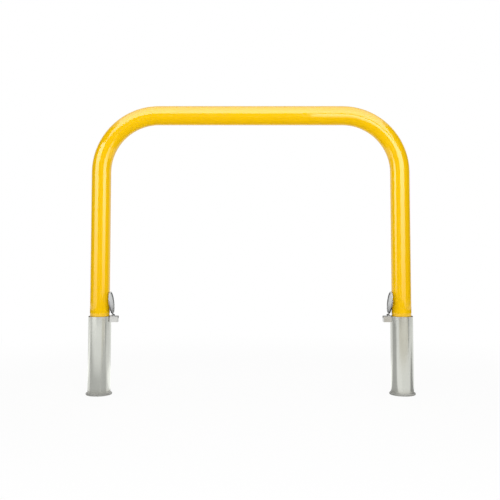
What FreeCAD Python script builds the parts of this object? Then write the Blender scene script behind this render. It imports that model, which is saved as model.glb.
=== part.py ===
import FreeCAD
import Part
import math
import os

# Removable arch bollard: a bent steel tube whose two legs drop into two ground sleeves.
# Each sleeve is a stainless tube welded to a round base plate. A slotted bracket at its mouth
# carries a cast lid on a cross pin. With the arch in place the lids stand open and lean on the
# legs; with the arch out they fold over the mouths.
#
# Frame: X along the arch, Y through it, Z up. The origin is midway between the sleeves, on the
# undersides of the base plates. All sizes are in millimetres and all angles in degrees.

# Arch tube: its width is measured over the legs, its height from the sleeves' mouths
arch_width = 1000.0
arch_height = 660.0
tube_diameter = 60.5
tube_wall = 2.8
bend_radius = 180.0
tube_end_chamfer = 0.6

# Ground sleeve: its depth runs from the mouth to the underside of the base plate
sleeve_depth = 240.0
sleeve_wall = 2.0
leg_clearance = 2.75
mouth_chamfer = 0.8

# Base plate with its fillet weld: the margin is what shows beyond the sleeve's wall
base_margin = 5.0
base_thickness = 4.5
base_edge_chamfer = 0.6
base_weld = 2.5
drain_diameter = 20.0

# Hinge bracket, flush with the mouth: its reach is measured from the sleeve's wall
bracket_reach = 22.5
bracket_height = 18.0
bracket_width = 24.0
bracket_corner_radius = 2.0
ear_wall = 2.2
slot_floor_clearance = 1.0

# Hinge pin: its rise is measured from the mouth
pin_diameter = 4.0
pin_rise = 1.3

# Lid, described closed on the mouth
lid_setback = 0.5
lid_thickness = 3.5
lid_edge_radius = 0.8
face_rim_width = 3.5
face_recess_depth = 1.8
face_recess_draft = 0.5
arm_width = 10.0
arm_thickness = 3.0
eye_wall = 2.2
notch_radius = 6.0
notch_depth = 1.6

# Running clearances
pin_clearance = 0.08
side_clearance = 0.3
eye_clearance = 1.5
rest_gap = 0.3

# Sizes that follow from the ones above
tube_radius = tube_diameter / 2
bore_radius = tube_radius + leg_clearance
sleeve_radius = bore_radius + sleeve_wall
base_radius = sleeve_radius + base_margin
lid_radius = sleeve_radius - lid_setback
pin_radius = pin_diameter / 2
ear_radius = pin_radius + ear_wall
eye_radius = pin_radius + eye_wall
slot_width = arm_width + 2 * side_clearance
leg_x = arch_width / 2 - tube_radius
bar_axis_z = sleeve_depth + arch_height - tube_radius
pin_x = sleeve_radius + eye_clearance + eye_radius
bracket_end_x = sleeve_radius + bracket_reach

# The sleeve's pieces are drawn about their own sleeve: X from its axis towards the middle of
# the arch, Z up from its mouth.
UP = FreeCAD.Vector(0, 0, 1)
ACROSS = FreeCAD.Vector(0, 1, 0)


def point(x, y, z):
    return FreeCAD.Vector(x, y, z)


def revolved(profile):
    """A solid of revolution about the sleeve's axis, from (radius, height) corners."""
    corners = [point(radius, 0, height) for radius, height in profile]
    face = Part.Face(Part.makePolygon(corners + corners[:1]))
    return face.revolve(point(0, 0, 0), UP, 360)


def block(x_range, width, z_range):
    """A box between two X and two Z values, centred on the arch's plane."""
    length = x_range[1] - x_range[0]
    height = z_range[1] - z_range[0]
    return Part.makeBox(length, width, height, point(x_range[0], -width / 2, z_range[0]))


def cross_rod(radius, length):
    """A rod along Y on the hinge's axis, centred on the arch's plane."""
    return Part.makeCylinder(radius, length, point(pin_x, -length / 2, pin_rise), ACROSS)


def arch_path():
    """The tube's centre line: leg, bend, top bar, bend, leg."""
    bend_z = bar_axis_z - bend_radius
    bar_x = leg_x - bend_radius
    mid_offset = bend_radius * math.sqrt(0.5)
    left_foot = point(-leg_x, 0, base_thickness)
    left_spring = point(-leg_x, 0, bend_z)
    left_mid = point(-bar_x - mid_offset, 0, bend_z + mid_offset)
    bar_left = point(-bar_x, 0, bar_axis_z)
    bar_right = point(bar_x, 0, bar_axis_z)
    right_mid = point(bar_x + mid_offset, 0, bend_z + mid_offset)
    right_spring = point(leg_x, 0, bend_z)
    right_foot = point(leg_x, 0, base_thickness)
    curves = [
        Part.LineSegment(left_foot, left_spring),
        Part.Arc(left_spring, left_mid, bar_left),
        Part.LineSegment(bar_left, bar_right),
        Part.Arc(bar_right, right_mid, right_spring),
        Part.LineSegment(right_spring, right_foot),
    ]
    return Part.Wire([curve.toShape() for curve in curves])


def swept_along_arch(radius):
    section = Part.Wire(Part.makeCircle(radius, point(-leg_x, 0, base_thickness), UP))
    return arch_path().makePipeShell([section], True, False)


def make_arch_tube():
    """The bent tube, open at both feet, with the sawn ends' outer edges broken."""
    tube = swept_along_arch(tube_radius).cut(swept_along_arch(tube_radius - tube_wall))
    end_edges = [
        edge
        for edge in tube.Edges
        if abs(edge.BoundBox.ZMax - base_thickness) < 1e-3
        and edge.BoundBox.XLength > tube_diameter - tube_wall
    ]
    return tube.makeChamfer(tube_end_chamfer, end_edges)


def make_sleeve_tube():
    """The tube that is cast into the ground, with its mouth chamfered inside and out."""
    bottom = base_thickness - sleeve_depth
    outer_chamfer = mouth_chamfer / 2
    return revolved(
        [
            (bore_radius, bottom),
            (sleeve_radius, bottom),
            (sleeve_radius, -outer_chamfer),
            (sleeve_radius - outer_chamfer, 0),
            (bore_radius + mouth_chamfer, 0),
            (bore_radius, -mouth_chamfer),
        ]
    )


def make_base_plate():
    """The foot of a sleeve, with a drain hole and the fillet weld that joins it to the tube."""
    under = -sleeve_depth
    top = under + base_thickness
    return revolved(
        [
            (drain_diameter / 2, under),
            (base_radius - base_edge_chamfer, under),
            (base_radius, under + base_edge_chamfer),
            (base_radius, top - base_edge_chamfer),
            (base_radius - base_edge_chamfer, top),
            (sleeve_radius + base_weld, top),
            (sleeve_radius, top + base_weld),
            (sleeve_radius, top),
            (drain_diameter / 2, top),
        ]
    )


def make_hinge_bracket():
    """A block with a saddle for the sleeve, ears round the pin and a slot for the lid's arm."""
    body = block((0, bracket_end_x), bracket_width, (-bracket_height, 0))
    outer_corners = [
        edge
        for edge in body.Edges
        if edge.BoundBox.XMin > bracket_end_x - 1e-3 and edge.BoundBox.ZLength > bracket_height / 2
    ]
    body = body.makeFillet(bracket_corner_radius, outer_corners)
    body = body.fuse(cross_rod(ear_radius, bracket_width)).removeSplitter()
    saddle = Part.makeCylinder(sleeve_radius, 2 * bracket_height, point(0, 0, -bracket_height))
    arm_swing = math.hypot(pin_x - lid_radius, lid_thickness - pin_rise)
    slot_floor = pin_rise - arm_swing - slot_floor_clearance
    slot = block((0, bracket_end_x + ear_radius), slot_width, (slot_floor, bracket_height))
    return body.cut(saddle).cut(slot).cut(cross_rod(pin_radius, bracket_width))


def make_hinge_pin():
    return cross_rod(pin_radius, bracket_width)


def make_lid_plate():
    """The lid's disc: a rounded edge, and a recessed face inside a raised rim."""
    plate = Part.makeCylinder(lid_radius, lid_thickness)
    top_edge = [edge for edge in plate.Edges if edge.BoundBox.ZMin > lid_thickness - 1e-3]
    plate = plate.makeFillet(lid_edge_radius, top_edge)
    recess_radius = lid_radius - face_rim_width
    floor = lid_thickness - face_recess_depth
    recess = revolved(
        [
            (0, floor),
            (recess_radius - face_recess_draft, floor),
            (recess_radius + face_recess_draft, lid_thickness + face_recess_depth),
            (0, lid_thickness + face_recess_depth),
        ]
    )
    return plate.cut(recess)


def make_closed_lid():
    """The casting as it lies on the mouth: disc, arm, eye and lifting notch."""
    plate = make_lid_plate()
    arm = block((lid_radius - face_rim_width / 2, pin_x), arm_width, (0, arm_thickness))
    eye = cross_rod(eye_radius, arm_width)
    bore = cross_rod(pin_radius + pin_clearance, arm_width)
    notch_x = -(lid_radius - notch_depth + notch_radius)
    notch = Part.makeCylinder(notch_radius, lid_thickness, point(notch_x, 0, 0))
    lid = plate.fuse([arm, eye]).removeSplitter()
    return lid.cut(bore).cut(notch)


def lid_rest_angle():
    """How far the lid is open, counted from closed, where its notch meets the leg."""
    reach = pin_x - tube_radius - rest_gap
    along = pin_x + lid_radius - notch_depth
    swing = math.hypot(along, pin_rise)
    return math.degrees(math.acos(reach / swing) + math.atan2(pin_rise, along))


def make_resting_lid():
    lid = make_closed_lid()
    lid.rotate(point(pin_x, 0, pin_rise), ACROSS, lid_rest_angle())
    return lid


def at_left_sleeve(shape):
    placed = shape.copy()
    placed.translate(point(-leg_x, 0, sleeve_depth))
    return placed


def at_right_sleeve(shape):
    """The right side is the left one turned half round, because each piece is even in Y."""
    placed = at_left_sleeve(shape)
    placed.rotate(point(0, 0, 0), UP, 180)
    return placed


def make_nodes():
    nodes = {"arch_tube": make_arch_tube()}
    one_side = {
        "sleeve_tube": make_sleeve_tube(),
        "base_plate": make_base_plate(),
        "hinge_bracket": make_hinge_bracket(),
        "hinge_pin": make_hinge_pin(),
        "lid": make_resting_lid(),
    }
    for name, shape in one_side.items():
        nodes["left_" + name] = at_left_sleeve(shape)
        nodes["right_" + name] = at_right_sleeve(shape)
    return nodes


os.makedirs("parts", exist_ok=True)
for node, shape in make_nodes().items():
    shape.exportStep("parts/" + node + ".step")
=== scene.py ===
"""The looks of a removable arch bollard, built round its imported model.

Lengths are in metres, in the model's own frame: X along the arch, Y away from the viewer, Z up,
with the origin midway between the two ground sleeves, under their base plates.
"""

import math

import bmesh
import bpy
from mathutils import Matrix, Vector


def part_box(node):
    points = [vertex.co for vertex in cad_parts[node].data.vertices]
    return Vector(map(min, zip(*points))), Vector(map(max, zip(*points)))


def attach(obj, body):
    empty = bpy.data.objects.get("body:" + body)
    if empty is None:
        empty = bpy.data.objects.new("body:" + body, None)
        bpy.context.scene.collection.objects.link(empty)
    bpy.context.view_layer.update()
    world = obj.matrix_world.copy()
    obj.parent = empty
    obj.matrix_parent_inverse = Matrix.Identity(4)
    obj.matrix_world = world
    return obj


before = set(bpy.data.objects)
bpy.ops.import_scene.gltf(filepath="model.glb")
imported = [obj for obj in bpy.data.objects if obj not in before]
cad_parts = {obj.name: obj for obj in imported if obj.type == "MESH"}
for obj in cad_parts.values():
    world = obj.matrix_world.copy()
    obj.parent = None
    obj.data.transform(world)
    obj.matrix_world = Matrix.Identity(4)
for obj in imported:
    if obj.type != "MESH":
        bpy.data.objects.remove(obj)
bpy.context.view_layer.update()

# ---- Base plates ----
# Each sleeve stands on a round plate of 4.5 mm stainless sheet. It is cut out hot and left as
# cut, so its edge is darker than its mill-finished faces.

side_signs = {"left": -1, "right": 1}
plate_colour = (0.50, 0.50, 0.475, 1)
plate_edge_colour = (0.33, 0.33, 0.31, 1)
plate_rubbed_colour = (0.62, 0.61, 0.59, 1)
plate_face_tilt = 0.4


def add_node(tree, kind, inputs=None, **settings):
    """One shader node with its settings; each input is given a value or is linked to a socket."""
    node = tree.nodes.new(kind)
    for name, value in settings.items():
        setattr(node, name, value)
    for name, value in (inputs or {}).items():
        if isinstance(value, bpy.types.NodeSocket):
            tree.links.new(value, node.inputs[name])
        else:
            node.inputs[name].default_value = value
    return node


def maths(tree, operation, *values):
    """The result of one sum on numbers or sockets."""
    inputs = dict(enumerate(values))
    return add_node(tree, "ShaderNodeMath", inputs, operation=operation).outputs[0]


def mix_colours(tree, mask, first, second):
    """The first colour where the mask is 0, the second where it is 1."""
    node = add_node(tree, "ShaderNodeMix", data_type="RGBA")
    for name, value in (("Factor_Float", mask), ("A_Color", first), ("B_Color", second)):
        socket = next(s for s in node.inputs if s.identifier == name)
        if isinstance(value, bpy.types.NodeSocket):
            tree.links.new(value, socket)
        else:
            socket.default_value = value
    return next(s for s in node.outputs if s.identifier == "Result_Color")


def new_group(name, inputs, outputs):
    """An empty shader node group with named sockets, and its two end nodes."""
    group = bpy.data.node_groups.new(name, "ShaderNodeTree")
    for label, kind, value in inputs:
        socket = group.interface.new_socket(label, in_out="INPUT", socket_type="NodeSocket" + kind)
        socket.default_value = value
    for label, kind in outputs:
        group.interface.new_socket(label, in_out="OUTPUT", socket_type="NodeSocket" + kind)
    return group, group.nodes.new("NodeGroupInput").outputs, group.nodes.new("NodeGroupOutput")


def make_metal_grain():
    """Grain of a metal: fine marks stretched by Grain Scale, and slow patches in its tone."""
    group, given, result = new_group(
        "metal_grain",
        [
            ("Point", "Vector", (0, 0, 0)),
            ("Grain Scale", "Vector", (500, 500, 500)),
            ("Patch Scale", "Float", 20),
            ("Color", "Color", (0.6, 0.6, 0.6, 1)),
            ("Tone Spread", "Float", 0.1),
            ("Roughness", "Float", 0.4),
            ("Roughness Spread", "Float", 0.1),
        ],
        [("Color", "Color"), ("Roughness", "Float"), ("Height", "Float")],
    )
    stretched = add_node(
        group,
        "ShaderNodeVectorMath",
        {0: given["Point"], 1: given["Grain Scale"]},
        operation="MULTIPLY",
    ).outputs["Vector"]
    grain = add_node(
        group,
        "ShaderNodeTexNoise",
        {"Vector": stretched, "Scale": 1, "Detail": 4, "Roughness": 0.6},
    ).outputs["Fac"]
    patches = add_node(
        group,
        "ShaderNodeTexNoise",
        {"Vector": given["Point"], "Scale": given["Patch Scale"], "Detail": 3},
    ).outputs["Fac"]
    both = maths(group, "SUBTRACT", maths(group, "ADD", grain, patches), 1.0)
    tone = maths(group, "MULTIPLY_ADD", both, given["Tone Spread"], 1.0)
    colour = add_node(
        group, "ShaderNodeVectorMath", {0: given["Color"], "Scale": tone}, operation="SCALE"
    ).outputs["Vector"]
    roughness = maths(group, "MULTIPLY_ADD", both, given["Roughness Spread"], given["Roughness"])
    group.links.new(colour, result.inputs["Color"])
    group.links.new(roughness, result.inputs["Roughness"])
    group.links.new(grain, result.inputs["Height"])
    return group


def make_worn_edges():
    """A mask of the edges that handling rubs bright: 1 on a sharp edge, 0 on a flat face."""
    edge_gain = 5.0
    chip_scale = 260
    chip_gain = 2.0
    group, given, result = new_group(
        "worn_edges",
        [("Point", "Vector", (0, 0, 0)), ("Width", "Float", 0.0008), ("Amount", "Float", 1.0)],
        [("Mask", "Float")],
    )
    rounded = add_node(group, "ShaderNodeBevel", {"Radius": given["Width"]}, samples=4).outputs[0]
    flat = add_node(group, "ShaderNodeNewGeometry").outputs["Normal"]
    agreement = add_node(
        group, "ShaderNodeVectorMath", {0: rounded, 1: flat}, operation="DOT_PRODUCT"
    ).outputs["Value"]
    chips = add_node(
        group, "ShaderNodeTexNoise", {"Vector": given["Point"], "Scale": chip_scale, "Detail": 4}
    ).outputs["Fac"]
    edge = maths(group, "MULTIPLY", maths(group, "SUBTRACT", 1.0, agreement), edge_gain)
    edge = maths(group, "MULTIPLY", edge, maths(group, "MULTIPLY", chips, chip_gain))
    mask = add_node(group, "ShaderNodeClamp", {"Value": edge}).outputs[0]
    group.links.new(maths(group, "MULTIPLY", mask, given["Amount"]), result.inputs["Mask"])
    return group


metal_grain = make_metal_grain()
worn_edges = make_worn_edges()


def new_material(name):
    """A new material's tree, its shader, and the point on the piece in the model's frame."""
    material = bpy.data.materials.new(name)
    material.use_nodes = True
    tree = material.node_tree
    point = add_node(tree, "ShaderNodeTexCoord").outputs["Object"]
    return material, tree, tree.nodes["Principled BSDF"], point


def use_group(tree, group, **inputs):
    """The outputs of a node group; each input is given a value or is linked to a socket."""
    node = add_node(tree, "ShaderNodeGroup", node_tree=group)
    for name, value in inputs.items():
        socket = node.inputs[name.replace("_", " ")]
        if isinstance(value, bpy.types.NodeSocket):
            tree.links.new(value, socket)
        else:
            socket.default_value = value
    return node.outputs


def add_bump(tree, shader, height, depth, strength):
    """Sets a height of up to depth metres into the shader's normal."""
    bump = add_node(
        tree, "ShaderNodeBump", {"Height": height, "Distance": depth, "Strength": strength}
    )
    tree.links.new(bump.outputs["Normal"], shader.inputs["Normal"])


def rubbed(tree, point, colour, rubbed_colour, width, amount):
    """A colour with the edges of its piece rubbed bright, over a width in metres."""
    mask = use_group(tree, worn_edges, Point=point, Width=width, Amount=amount)["Mask"]
    return mix_colours(tree, mask, colour, rubbed_colour)


def finish_metal(tree, shader, grain, colour, depth, strength):
    """Makes a shader bare metal of this colour, with the roughness and the height of its grain."""
    tree.links.new(colour, shader.inputs["Base Color"])
    tree.links.new(grain["Roughness"], shader.inputs["Roughness"])
    shader.inputs["Metallic"].default_value = 1
    add_bump(tree, shader, grain["Height"], depth, strength)


def paint_node(node, material):
    """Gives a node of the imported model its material."""
    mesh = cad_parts[node].data
    mesh.materials.clear()
    mesh.materials.append(material)


plate_steel, tree, shader, point = new_material("plate_steel")
faces_up = add_node(
    tree, "ShaderNodeSeparateXYZ", {0: add_node(tree, "ShaderNodeTexCoord").outputs["Normal"]}
).outputs["Z"]
on_edge = maths(tree, "LESS_THAN", maths(tree, "ABSOLUTE", faces_up), plate_face_tilt)
grain = use_group(
    tree,
    metal_grain,
    Point=point,
    Grain_Scale=(700, 700, 250),
    Patch_Scale=60,
    Color=mix_colours(tree, on_edge, plate_colour, plate_edge_colour),
    Tone_Spread=0.35,
    Roughness=0.62,
    Roughness_Spread=0.25,
)
colour = rubbed(tree, point, grain["Color"], plate_rubbed_colour, width=0.0006, amount=0.35)
finish_metal(tree, shader, grain, colour, depth=0.0001, strength=0.5)
for side in side_signs:
    paint_node(side + "_base_plate", plate_steel)

# ---- Ground sleeves ----
# A length of 70 mm stainless tube that is cast into the ground with its mouth flush. It has a
# fine satin finish, a little browner just over the weld at its foot, and shows bright at the
# mouth, where the leg rubs it.

sleeve_colour = (0.64, 0.65, 0.60, 1)
sleeve_foot_colour = (0.55, 0.545, 0.49, 1)
sleeve_rubbed_colour = (0.74, 0.74, 0.72, 1)
heat_mark_height = 0.022
heat_mark_strength = 0.8

plate_low, plate_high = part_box("left_base_plate")
sleeve_low, sleeve_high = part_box("left_sleeve_tube")
leg_x = -(plate_low.x + plate_high.x) / 2
sleeve_radius = (sleeve_high.y - sleeve_low.y) / 2
sleeve_foot_z = sleeve_low.z
mouth_z = sleeve_high.z

sleeve_steel, tree, shader, point = new_material("sleeve_steel")
height = add_node(tree, "ShaderNodeSeparateXYZ", {0: point}).outputs["Z"]
near_weld = add_node(
    tree,
    "ShaderNodeMapRange",
    {
        "Value": height,
        "From Min": sleeve_foot_z,
        "From Max": sleeve_foot_z + heat_mark_height,
        "To Min": heat_mark_strength,
        "To Max": 0,
    },
    interpolation_type="SMOOTHSTEP",
).outputs["Result"]
grain = use_group(
    tree,
    metal_grain,
    Point=point,
    Grain_Scale=(1100, 1100, 9),
    Patch_Scale=14,
    Color=mix_colours(tree, near_weld, sleeve_colour, sleeve_foot_colour),
    Tone_Spread=0.14,
    Roughness=0.2,
    Roughness_Spread=0.08,
)
colour = rubbed(tree, point, grain["Color"], sleeve_rubbed_colour, width=0.0008, amount=0.6)
finish_metal(tree, shader, grain, colour, depth=0.00004, strength=0.4)
for side in side_signs:
    paint_node(side + "_sleeve_tube", sleeve_steel)

# ---- Welds at the feet ----
# One fillet weld runs round each sleeve where it stands on its plate. It is laid by hand, so it
# shows a row of small crescent ripples. It is brushed clean, and a little greyer than the tube.

foot_weld_radius = 0.0026
ripple_pitch = 0.0017
ripple_depth = 0.07
ripple_lean = 0.9
steps_per_ripple = 8
bead_sides = 14
bead_end_size = 0.35
bead_end_taper = 14
weld_colour = (0.54, 0.54, 0.51, 1)
weld_tint_colour = (0.43, 0.425, 0.40, 1)
weld_tint_scale = 90


def add_piece(name, mesh, material, body):
    """Puts a finished mesh in the scene, smooth, on one body of the model."""
    for face in mesh.polygons:
        face.use_smooth = True
    mesh.materials.append(material)
    piece = bpy.data.objects.new(name, mesh)
    bpy.context.scene.collection.objects.link(piece)
    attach(piece, body)
    return piece


def bead_mesh(name, path, closed, radius):
    """A weld bead: a round run along a path of (point, sideways, outwards), with ripples on it."""
    mesh = bmesh.new()
    rings = []
    travelled = 0.0
    for index, (centre, sideways, outwards) in enumerate(path):
        if index:
            travelled += (centre - path[index - 1][0]).length
        to_end = min(index, len(path) - 1 - index)
        taper = 1.0 if closed else min(1.0, bead_end_size + bead_end_taper * to_end / len(path))
        ring = []
        for step in range(bead_sides):
            turn = 2 * math.pi * step / bead_sides
            phase = (travelled / ripple_pitch + ripple_lean * math.cos(turn)) % 1.0
            swell = 1 + ripple_depth * (phase - 0.5)
            reach = radius * taper * swell
            direction = math.cos(turn) * outwards + math.sin(turn) * sideways
            ring.append(mesh.verts.new(centre + reach * direction))
        rings.append(ring)
    last = len(rings) if closed else len(rings) - 1
    for index in range(last):
        near, far = rings[index], rings[(index + 1) % len(rings)]
        for step in range(bead_sides):
            after = (step + 1) % bead_sides
            mesh.faces.new((near[step], far[step], far[after], near[after]))
    if not closed:
        mesh.faces.new(rings[0])
        mesh.faces.new(reversed(rings[-1]))
    bmesh.ops.recalc_face_normals(mesh, faces=mesh.faces)
    data = bpy.data.meshes.new(name)
    mesh.to_mesh(data)
    mesh.free()
    return data


weld_steel, tree, shader, point = new_material("weld_steel")
tint = add_node(
    tree, "ShaderNodeTexNoise", {"Vector": point, "Scale": weld_tint_scale, "Detail": 3}
).outputs["Fac"]
grain = use_group(
    tree,
    metal_grain,
    Point=point,
    Grain_Scale=(900, 900, 900),
    Patch_Scale=150,
    Color=mix_colours(tree, tint, weld_colour, weld_tint_colour),
    Tone_Spread=0.3,
    Roughness=0.5,
    Roughness_Spread=0.2,
)
finish_metal(tree, shader, grain, grain["Color"], depth=0.0001, strength=0.5)

ripples = round(2 * math.pi * sleeve_radius / ripple_pitch)
foot_weld_steps = steps_per_ripple * ripples
for side, sign in side_signs.items():
    path = []
    for step in range(foot_weld_steps):
        turn = 2 * math.pi * step / foot_weld_steps
        outwards = Vector((math.cos(turn), math.sin(turn), 0))
        centre = Vector((sign * leg_x, 0, sleeve_foot_z)) + sleeve_radius * outwards
        path.append((centre, Vector((0, 0, 1)), outwards))
    weld = bead_mesh(side + "_foot_weld", path, True, foot_weld_radius)
    add_piece(side + "_foot_weld", weld, weld_steel, "ground_sleeves")

# ---- Hinge brackets ----
# A stainless block with a saddle that fits the sleeve, two ears for the pin and a slot for the
# lid's arm. It is cast and ground smooth, then welded to the sleeve flush with the mouth. The
# small bead is ground bright with it.

bracket_colour = (0.58, 0.58, 0.56, 1)
bracket_rubbed_colour = (0.72, 0.72, 0.70, 1)
bracket_weld_radius = 0.0012
weld_steps_per_metre = 4500

bracket_low, bracket_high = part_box("left_hinge_bracket")
bracket_half_width = (bracket_high.y - bracket_low.y) / 2

bracket_steel, tree, shader, point = new_material("bracket_steel")
grain = use_group(
    tree,
    metal_grain,
    Point=point,
    Grain_Scale=(1500, 1500, 1500),
    Patch_Scale=110,
    Color=bracket_colour,
    Tone_Spread=0.2,
    Roughness=0.13,
    Roughness_Spread=0.05,
)
colour = rubbed(tree, point, grain["Color"], bracket_rubbed_colour, width=0.0007, amount=0.7)
finish_metal(tree, shader, grain, colour, depth=0.00004, strength=0.4)


def bracket_weld_path(sign):
    """Down one side of the bracket, along under it, and up the other, on the sleeve's wall."""
    half_turn = math.asin(bracket_half_width / sleeve_radius)
    side_length = mouth_z - bracket_low.z
    arc_length = 2 * half_turn * sleeve_radius
    total = 2 * side_length + arc_length
    path = []
    steps = round(total * weld_steps_per_metre)
    for step in range(steps + 1):
        along = total * step / steps
        into_arc = min(max(along - side_length, 0.0), arc_length)
        below_mouth = min(along, side_length, total - along)
        turn = into_arc / sleeve_radius - half_turn
        outwards = Vector((-sign * math.cos(turn), math.sin(turn), 0))
        round_sleeve = Vector((sign * math.sin(turn), math.cos(turn), 0))
        centre = Vector((sign * leg_x, 0, mouth_z - below_mouth)) + sleeve_radius * outwards
        upright = 0 < into_arc < arc_length
        path.append((centre, Vector((0, 0, 1)) if upright else round_sleeve, outwards))
    return path


for side, sign in side_signs.items():
    paint_node(side + "_hinge_bracket", bracket_steel)
    path = bracket_weld_path(sign)
    weld = bead_mesh(side + "_bracket_weld", path, False, bracket_weld_radius)
    add_piece(side + "_bracket_weld", weld, bracket_steel, "ground_sleeves")

# ---- Hinge pins ----
# A turned stainless pin runs through both ears. Its ends are hammered over into low domes, so it
# can't work out.

pin_colour = (0.62, 0.62, 0.61, 1)
pin_head_radius = 0.0031
pin_head_height = 0.0011
pin_head_wide_dents = 0.025
pin_head_fine_dents = 0.015
pin_head_rings = 10
pin_head_segments = 40

pin_low, pin_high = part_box("left_hinge_pin")
pin_x = -(pin_low.x + pin_high.x) / 2
pin_z = (pin_low.z + pin_high.z) / 2
pin_end_y = pin_high.y

pin_steel, tree, shader, point = new_material("pin_steel")
grain = use_group(
    tree,
    metal_grain,
    Point=point,
    Grain_Scale=(900, 3000, 900),
    Patch_Scale=300,
    Color=pin_colour,
    Tone_Spread=0.15,
    Roughness=0.3,
    Roughness_Spread=0.15,
)
finish_metal(tree, shader, grain, grain["Color"], depth=0.00005, strength=0.4)


def pin_head_mesh(name, centre, out):
    """A dome with a closed back, hammered a little off round."""
    mesh = bmesh.new()
    rings = []
    for ring in range(pin_head_rings):
        rise = math.sin(0.5 * math.pi * ring / pin_head_rings)
        spread = math.cos(0.5 * math.pi * ring / pin_head_rings)
        corners = []
        for segment in range(pin_head_segments):
            turn = 2 * math.pi * segment / pin_head_segments
            wide_dents = pin_head_wide_dents * math.sin(3 * turn)
            fine_dents = pin_head_fine_dents * math.sin(7 * turn)
            reach = pin_head_radius * spread * (1 + wide_dents + fine_dents)
            height = out * pin_head_height * rise
            offset = Vector((reach * math.cos(turn), height, reach * math.sin(turn)))
            corners.append(mesh.verts.new(centre + offset))
        rings.append(corners)
    for near, far in zip(rings, rings[1:]):
        for segment in range(pin_head_segments):
            after = (segment + 1) % pin_head_segments
            mesh.faces.new((near[segment], far[segment], far[after], near[after]))
    mesh.faces.new(rings[0])
    mesh.faces.new(rings[-1])
    bmesh.ops.recalc_face_normals(mesh, faces=mesh.faces)
    data = bpy.data.meshes.new(name)
    mesh.to_mesh(data)
    mesh.free()
    return data


for side, sign in side_signs.items():
    paint_node(side + "_hinge_pin", pin_steel)
    for end, out in (("front", -1), ("back", 1)):
        name = side + "_pin_head_" + end
        centre = Vector((sign * pin_x, out * pin_end_y, pin_z))
        add_piece(name, pin_head_mesh(name, centre, out), pin_steel, "ground_sleeves")

# ---- Lids ----
# Each lid is a stainless casting: disc, arm and eye in one. Its rim, face and arm are ground
# bright. The edge of the disc keeps the grey skin of the mould. The wall of the recess is painted
# near black as painted shade, standing for the shadow that falls inside the recess.

lid_colour = (0.57, 0.58, 0.57, 1)
lid_edge_colour = (0.36, 0.36, 0.35, 1)
# Painted shade: this colour on the recess wall stands for the shadow inside the recess, not the
# metal's own tone.
recess_wall_painted_shade = (0.15, 0.15, 0.15, 1)
lid_rubbed_colour = (0.76, 0.76, 0.75, 1)
lid_face_tilt = 0.6
lid_face_roughness = 0.33
lid_cast_roughness = 0.75
rim_width = 0.0035
arm_top_height = 0.0075

lid_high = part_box("left_lid")[1]
recess_reach = lid_high.y - rim_width / 2
lid_centre_z = lid_high.z - lid_high.y

lid_steel, tree, shader, point = new_material("lid_steel")
normal = add_node(tree, "ShaderNodeTexCoord").outputs["Normal"]
along_arch = add_node(tree, "ShaderNodeSeparateXYZ", {0: normal}).outputs["X"]
as_cast = maths(tree, "LESS_THAN", maths(tree, "ABSOLUTE", along_arch), lid_face_tilt)
place = add_node(tree, "ShaderNodeSeparateXYZ", {0: point}).outputs
above_centre = maths(tree, "SUBTRACT", place["Z"], lid_centre_z)
from_centre = add_node(
    tree,
    "ShaderNodeVectorMath",
    {0: add_node(tree, "ShaderNodeCombineXYZ", {"Y": place["Y"], "Z": above_centre}).outputs[0]},
    operation="LENGTH",
).outputs["Value"]
in_recess = maths(tree, "LESS_THAN", from_centre, recess_reach)
on_arm = maths(tree, "LESS_THAN", place["Z"], mouth_z + arm_top_height)
# The recess wall gets the painted shade colour; the rest of the disc's edge keeps the mould's
# skin.
edge_colour = mix_colours(tree, in_recess, lid_edge_colour, recess_wall_painted_shade)
edge_colour = mix_colours(tree, on_arm, edge_colour, lid_colour)
rougher = lid_cast_roughness - lid_face_roughness
grain = use_group(
    tree,
    metal_grain,
    Point=point,
    Grain_Scale=(260, 1200, 260),
    Patch_Scale=90,
    Color=mix_colours(tree, as_cast, lid_colour, edge_colour),
    Tone_Spread=0.16,
    Roughness=maths(tree, "MULTIPLY_ADD", as_cast, rougher, lid_face_roughness),
    Roughness_Spread=0.14,
)
colour = rubbed(tree, point, grain["Color"], lid_rubbed_colour, width=0.0008, amount=0.6)
finish_metal(tree, shader, grain, colour, depth=0.00008, strength=0.5)
for side in side_signs:
    paint_node(side + "_lid", lid_steel)

# ---- Arch ----
# One length of 60.5 mm steel tube, bent twice, with a thick coat of yellow baked paint. The bore
# is unpainted, the sawn feet are chipped, and the stretch that drops into the sleeves is scuffed.

paint_colour = (0.90, 0.55, 0.002, 1)
paint_shade_colour = (0.87, 0.50, 0.001, 1)
tube_steel_colour = (0.33, 0.33, 0.32, 1)
tube_wall = 0.0028
tube_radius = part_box("arch_tube")[1].x - leg_x
shade_scale = 7
paint_roughness = 0.08
paint_roughness_spread = 0.02
peel_scale = 420
peel_depth = 0.00012
peel_strength = 0.008
chip_width = 0.0012
scratch_scale = (420, 420, 14)
scratch_threshold = 0.66
scuff_strength = 0.35
scuff_roughness = 0.6
scuff_colour = (0.80, 0.52, 0.10, 1)

arch_paint, tree, shader, point = new_material("arch_paint")
shade = add_node(
    tree, "ShaderNodeTexNoise", {"Vector": point, "Scale": shade_scale, "Detail": 2}
).outputs["Fac"]
peel = add_node(
    tree, "ShaderNodeTexNoise", {"Vector": point, "Scale": peel_scale, "Detail": 2}
).outputs["Fac"]
place = add_node(tree, "ShaderNodeSeparateXYZ", {0: point}).outputs
from_leg = maths(tree, "SUBTRACT", maths(tree, "ABSOLUTE", place["X"]), leg_x)
from_axis = maths(
    tree,
    "SQRT",
    maths(tree, "ADD", maths(tree, "POWER", from_leg, 2.0), maths(tree, "POWER", place["Y"], 2.0)),
)
low_down = maths(tree, "LESS_THAN", place["Z"], mouth_z)
in_bore = maths(
    tree, "MULTIPLY", low_down, maths(tree, "LESS_THAN", from_axis, tube_radius - tube_wall / 2)
)
chips = use_group(tree, worn_edges, Point=point, Width=chip_width, Amount=1.0)["Mask"]
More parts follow.
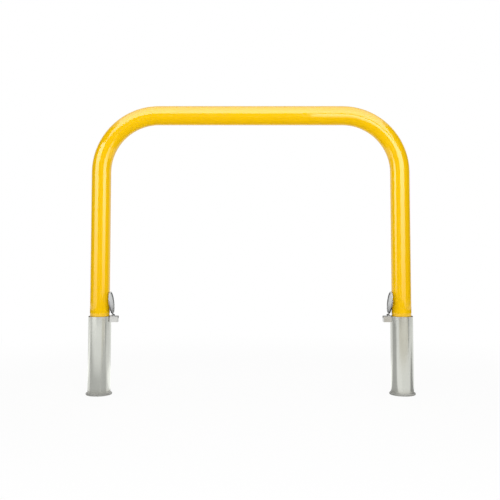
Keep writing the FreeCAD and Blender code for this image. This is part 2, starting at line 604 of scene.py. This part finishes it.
scratches = add_node(
    tree,
    "ShaderNodeTexNoise",
    {
        "Vector": add_node(
            tree, "ShaderNodeVectorMath", {0: point, 1: scratch_scale}, operation="MULTIPLY"
        ).outputs["Vector"],
        "Scale": 1,
        "Detail": 3,
    },
).outputs["Fac"]
scratched = maths(tree, "GREATER_THAN", scratches, scratch_threshold)
scuffed = maths(tree, "MULTIPLY", maths(tree, "MULTIPLY", low_down, scratched), scuff_strength)
bare = maths(tree, "MAXIMUM", in_bore, maths(tree, "MULTIPLY", chips, low_down))
paint = mix_colours(tree, shade, paint_colour, paint_shade_colour)
paint = mix_colours(tree, scuffed, paint, scuff_colour)
tree.links.new(mix_colours(tree, bare, paint, tube_steel_colour), shader.inputs["Base Color"])
tree.links.new(bare, shader.inputs["Metallic"])
roughness = maths(tree, "MULTIPLY_ADD", shade, paint_roughness_spread, paint_roughness)
roughness = maths(tree, "MULTIPLY_ADD", scuffed, scuff_roughness, roughness)
tree.links.new(roughness, shader.inputs["Roughness"])
shader.inputs["Specular IOR Level"].default_value = 0.5
add_bump(tree, shader, peel, peel_depth, peel_strength)
paint_node("arch_tube", arch_paint)

# ---- Studio ----
# The bollard stands on a white floor in a white room. It is lit by a soft box on either side in
# front, a wide one above and a wide one behind. The floor fades to pure white away from it.

floor_half_width = 6.0
floor_colour = (0.9, 0.9, 0.9, 1)
fade_start = 0.7
fade_end = 1.8
background_share = 0.92
ambient_strength = 0.54

side_box_size = (0.9, 1.4)
side_box_power = 9.4
# Place, size, power in watts and the point that it faces
soft_boxes = {
    "left_soft_box": ((-0.55, -1.85, 0.85), side_box_size, side_box_power, (0, 0, 0.85)),
    "right_soft_box": ((0.55, -1.85, 0.85), side_box_size, side_box_power, (0, 0, 0.85)),
    "top_soft_box": ((0, -1.2, 2.15), (2.6, 0.9), 9.5, (0, 0, 0.87)),
    "back_soft_box": ((0, 2.0, 0.9), (2.2, 1.2), 9.0, (0, 0, 0.6)),
}


def seen_directly(tree):
    """1 for the rays that show the background: the camera's, and those in metal and glass."""
    rays = add_node(tree, "ShaderNodeLightPath").outputs
    mirrored = maths(tree, "MAXIMUM", rays["Is Glossy Ray"], rays["Is Transmission Ray"])
    return maths(tree, "MAXIMUM", rays["Is Camera Ray"], mirrored)


floor_material = bpy.data.materials.new("white_floor")
floor_material.use_nodes = True
tree = floor_material.node_tree
tree.nodes.remove(tree.nodes["Principled BSDF"])
point = add_node(tree, "ShaderNodeTexCoord").outputs["Object"]
distance = add_node(tree, "ShaderNodeVectorMath", {0: point}, operation="LENGTH").outputs["Value"]
background = add_node(
    tree,
    "ShaderNodeMapRange",
    {
        "Value": distance,
        "From Min": fade_start,
        "From Max": fade_end,
        "To Min": background_share,
        "To Max": 1,
    },
    interpolation_type="SMOOTHSTEP",
).outputs["Result"]
lit = add_node(tree, "ShaderNodeBsdfDiffuse", {"Color": floor_colour})
white = add_node(tree, "ShaderNodeEmission", {"Color": (1, 1, 1, 1), "Strength": 1})
share = maths(tree, "MULTIPLY", seen_directly(tree), background)
surface = add_node(
    tree, "ShaderNodeMixShader", {0: share, 1: lit.outputs["BSDF"], 2: white.outputs["Emission"]}
)
tree.links.new(surface.outputs["Shader"], tree.nodes["Material Output"].inputs["Surface"])

world = bpy.data.worlds.new("white_room")
world.use_nodes = True
bpy.context.scene.world = world
tree = world.node_tree
room = tree.nodes["Background"]
room.inputs["Color"].default_value = (1, 1, 1, 1)
strength = add_node(
    tree,
    "ShaderNodeMapRange",
    {"Value": seen_directly(tree), "To Min": ambient_strength, "To Max": 1},
).outputs["Result"]
tree.links.new(strength, room.inputs["Strength"])


def add_stage(name, corners, faces, material):
    """A sheet of the studio, which isn't part of the object."""
    mesh = bpy.data.meshes.new(name)
    mesh.from_pydata(corners, [], faces)
    mesh.materials.append(material)
    piece = bpy.data.objects.new(name, mesh)
    bpy.context.scene.collection.objects.link(piece)
    return piece


def level_sheet(low, high, height):
    """The corners of a level sheet between two (X, Y) corners."""
    return [(x, y, height) for x, y in (low, (high[0], low[1]), high, (low[0], high[1]))]


def upright_sheet(start, end, bottom, top):
    """The corners of an upright sheet that stands on the line between two (X, Y) points."""
    return [(*start, bottom), (*end, bottom), (*end, top), (*start, top)]


floor_low = (-floor_half_width, -floor_half_width)
floor_high = (floor_half_width, floor_half_width)
one_sheet = [(0, 1, 2, 3)]
add_stage("floor", level_sheet(floor_low, floor_high, 0), one_sheet, floor_material)

for name, (place, size, power, target) in soft_boxes.items():
    lamp = bpy.data.lights.new(name, "AREA")
    lamp.shape = "RECTANGLE"
    lamp.size, lamp.size_y = size
    lamp.energy = power
    box = bpy.data.objects.new(name, lamp)
    box.location = place
    box.rotation_euler = (Vector(target) - Vector(place)).to_track_quat("-Z", "Y").to_euler()
    box.visible_camera = False
    box.visible_glossy = False
    bpy.context.scene.collection.objects.link(box)

# ---- Cards for reflections ----
# The paint shows two tall bright cards and a canopy in an otherwise dark room. The steel below
# shows a low wall, grey cloths, dividers between the legs and a collar round each foot. All of
# them are seen only in what is glossy, and light and shade nothing.

screen_radius = 2.9
screen_bottom = 0.1
screen_top = 3.2
screen_half_turn = math.radians(120)
screen_steps = 24
dark_glow = 0.02

left_card_start = (-0.84, -0.18)
left_card_end = (-0.79, -0.758)
right_card_start = (0.297, -1.228)
right_card_end = (1.0, -0.654)
tall_card_bottom = 0.2
tall_card_top = 1.0
tall_card_glow = (1.2, 7.0)

canopy_half_width = 1.6
canopy_profile = ((-1.9, 1.42), (-1.1, 2.0), (-0.5, 2.25), (0.45, 2.3))
canopy_glow = (4.9, 2.2)

low_wall_y = -0.66
low_wall_top = 0.195
low_wall_span = (0.1, 0.19)
# First and last X, glow at the bottom and at the top, colour
low_walls = {
    "left": (-2.8, -0.05, (1.0, 1.33), (1, 1, 1, 1)),
    "right": (-0.05, 1.37, (0.83, 0.88), (1, 0.96, 0.88, 1)),
}

cloth_height = 0.003
raised_height = 0.25
far_cloth = ((-2.4, -2.7), (2.4, -0.67))
raised_cloth = ((-0.62, -0.64), (0.62, 0.5))
left_cloth = ((-2.4, -0.66), (-0.15, -0.66), (-0.46, -0.04), (-0.46, -0.02), (-2.4, -0.02))
inner_left_cloth = (
    (-0.455, -0.04),
    (-0.155, -0.64),
    (-0.01, -0.64),
    (-0.01, -0.02),
    (-0.455, -0.02),
)
inner_right_cloth = ((0.46, -0.05), (0.01, -0.21), (0.01, -0.655), (0.3, -0.655))
right_cloth = ((0.01, -0.2), (0.44, -0.05), (0.455, 0.015), (0.01, 0.33))
back_right_cloth = ((0.465, 0.03), (0.465, 0.6), (0.015, 0.6), (0.015, 0.345))
side_cloth = ((0.5, -0.04), (0.9, -0.13), (1.3, -0.1), (1.6, 0.3), (0.49, 0.02))
back_cloth = (
    (-3.0, 0.5),
    (-3.0, 0.15),
    (-0.5, 0.15),
    (-0.4, 0.05),
    (-0.01, 0.05),
    (-0.01, 0.5),
)
left_cloth_glow = (0.95, 0.58)
left_cloth_span = (-0.66, -0.28)
inner_left_glow = 0.58
inner_right_glow = 1.05
right_cloth_glow = 0.5
side_cloth_glow = 0.4
back_cloth_glow = 1.35

# First and last corner, glow
left_divider = ((-0.01, -0.08), (-0.01, 0.45), 0.88)
right_divider = ((0.01, -0.2), (0.01, 0.2), 0.5)
front_divider_top = 0.1
left_front_divider = ((-0.01, -0.5), (-0.01, -0.08), 0.64)
right_front_divider = ((0.01, -0.5), (0.01, -0.2), 1.05)

collar_height = 0.0085
collar_inner_radius = 0.0353
collar_outer_radius = 0.05
collar_steps = 32
left_collar_glow = 0.56
right_collar_glow = (0.95, 0.42)
right_collar_span = (-0.045, -0.018)


def glow(name, strength, axis=None, span=None, colour=(1, 1, 1, 1)):
    """A surface that gives off light and reflects nothing, even or graded along an axis.

    Graded, it goes from the first strength to the second over a span on that axis.
    """
    material = bpy.data.materials.new(name)
    material.use_nodes = True
    tree = material.node_tree
    tree.nodes.remove(tree.nodes["Principled BSDF"])
    light = add_node(tree, "ShaderNodeEmission", {"Color": colour})
    if axis:
        point = add_node(tree, "ShaderNodeTexCoord").outputs["Object"]
        place = add_node(tree, "ShaderNodeSeparateXYZ", {0: point}).outputs[axis]
        start = {"From Min": span[0], "To Min": strength[0]}
        end = {"From Max": span[1], "To Max": strength[1]}
        graded = add_node(tree, "ShaderNodeMapRange", {"Value": place, **start, **end})
        tree.links.new(graded.outputs["Result"], light.inputs["Strength"])
    else:
        light.inputs["Strength"].default_value = strength
    tree.links.new(light.outputs["Emission"], tree.nodes["Material Output"].inputs["Surface"])
    return material


def add_card(name, corners, faces, material):
    """A card or cloth that only shows in what is glossy."""
    card = add_stage(name, corners, faces, material)
    card.visible_camera = False
    card.visible_diffuse = False
    card.visible_shadow = False
    card.visible_transmission = False


corners = []
for step in range(screen_steps + 1):
    turn = screen_half_turn * (2 * step / screen_steps - 1)
    place = (screen_radius * math.sin(turn), -screen_radius * math.cos(turn))
    corners += [(*place, screen_bottom), (*place, screen_top)]
strips = [(2 * step, 2 * step + 1, 2 * step + 3, 2 * step + 2) for step in range(screen_steps)]
dark_cloth = glow("dark_cloth", dark_glow)
add_card("dark_screen", corners, strips, dark_cloth)
add_card("far_cloth", level_sheet(*far_cloth, cloth_height), one_sheet, dark_cloth)
add_card("raised_cloth", level_sheet(*raised_cloth, raised_height), one_sheet, dark_cloth)
cloths = {
    "left_cloth": (left_cloth, glow("left_cloth_glow", left_cloth_glow, "Y", left_cloth_span)),
    "inner_left_cloth": (inner_left_cloth, glow("inner_left_glow", inner_left_glow)),
    "inner_right_cloth": (inner_right_cloth, glow("inner_right_glow", inner_right_glow)),
    "right_cloth": (right_cloth, glow("right_cloth_glow", right_cloth_glow)),
    "side_cloth": (side_cloth, glow("side_cloth_glow", side_cloth_glow)),
    "back_cloth": (back_cloth, glow("back_cloth_glow", back_cloth_glow)),
    "back_right_cloth": (back_right_cloth, glow("back_right_glow", back_cloth_glow)),
}
for name, (outline, light) in cloths.items():
    corners = [(x, y, cloth_height) for x, y in outline]
    add_card(name, corners, [range(len(outline))], light)
dividers = {
    "left_divider": (left_divider, low_wall_top),
    "right_divider": (right_divider, low_wall_top),
    "left_front_divider": (left_front_divider, front_divider_top),
    "right_front_divider": (right_front_divider, front_divider_top),
}
for name, ((start, end, strength), top) in dividers.items():
    corners = upright_sheet(start, end, cloth_height, top)
    add_card(name, corners, one_sheet, glow(name + "_glow", strength))

collar_lights = {
    "left": glow("left_collar_glow", left_collar_glow),
    "right": glow("right_collar_glow", right_collar_glow, "Y", right_collar_span),
}
for side, sign in side_signs.items():
    corners = []
    for step in range(collar_steps):
        turn = 2 * math.pi * step / collar_steps
        for reach in (collar_inner_radius, collar_outer_radius):
            x = sign * leg_x + reach * math.cos(turn)
            corners.append((x, reach * math.sin(turn), collar_height))
    count = len(corners)
    panels = [(i, i + 1, (i + 3) % count, (i + 2) % count) for i in range(0, count, 2)]
    add_card(side + "_collar", corners, panels, collar_lights[side])

tall_glow = glow("tall_card_glow", tall_card_glow, "Z", (tall_card_bottom, tall_card_top))
left_corners = upright_sheet(left_card_start, left_card_end, tall_card_bottom, tall_card_top)
right_corners = upright_sheet(right_card_start, right_card_end, tall_card_bottom, tall_card_top)
add_card("left_card", left_corners, one_sheet, tall_glow)
add_card("right_card", right_corners, one_sheet, tall_glow)

corners = []
for y, z in canopy_profile:
    corners += [(-canopy_half_width, y, z), (canopy_half_width, y, z)]
panels = [(2 * i, 2 * i + 1, 2 * i + 3, 2 * i + 2) for i in range(len(canopy_profile) - 1)]
canopy_span = (canopy_profile[1][0], canopy_profile[-1][0])
add_card("canopy", corners, panels, glow("canopy_glow", canopy_glow, "Y", canopy_span))

for side, (start_x, end_x, strength, colour) in low_walls.items():
    start, end = (start_x, low_wall_y), (end_x, low_wall_y)
    corners = upright_sheet(start, end, cloth_height, low_wall_top)
    light = glow(side + "_wall_glow", strength, "Z", low_wall_span, colour)
    add_card(side + "_low_wall", corners, one_sheet, light)

# ---- Camera ----
# A normal lens 2.15 m in front of the arch, just under half its height, tipped up a little. The
# photograph is cropped off centre, which is the lens shift.

sensor_width = 36
frame_pixels = 500
focal_pixels = 686.0
horizon_row = 216.6
camera_place = (-0.0021, -2.15, 0.431)
camera_tip_degrees = 3.167

camera_data = bpy.data.cameras.new("camera")
camera_data.sensor_width = sensor_width
camera_data.lens = sensor_width * focal_pixels / frame_pixels
camera_data.shift_y = (horizon_row - frame_pixels / 2) / frame_pixels
camera = bpy.data.objects.new("camera", camera_data)
camera.location = camera_place
camera.rotation_euler = (math.radians(90 + camera_tip_degrees), 0, 0)
bpy.context.scene.collection.objects.link(camera)
bpy.context.scene.camera = camera
bpy.context.scene.view_settings.view_transform = "Standard"
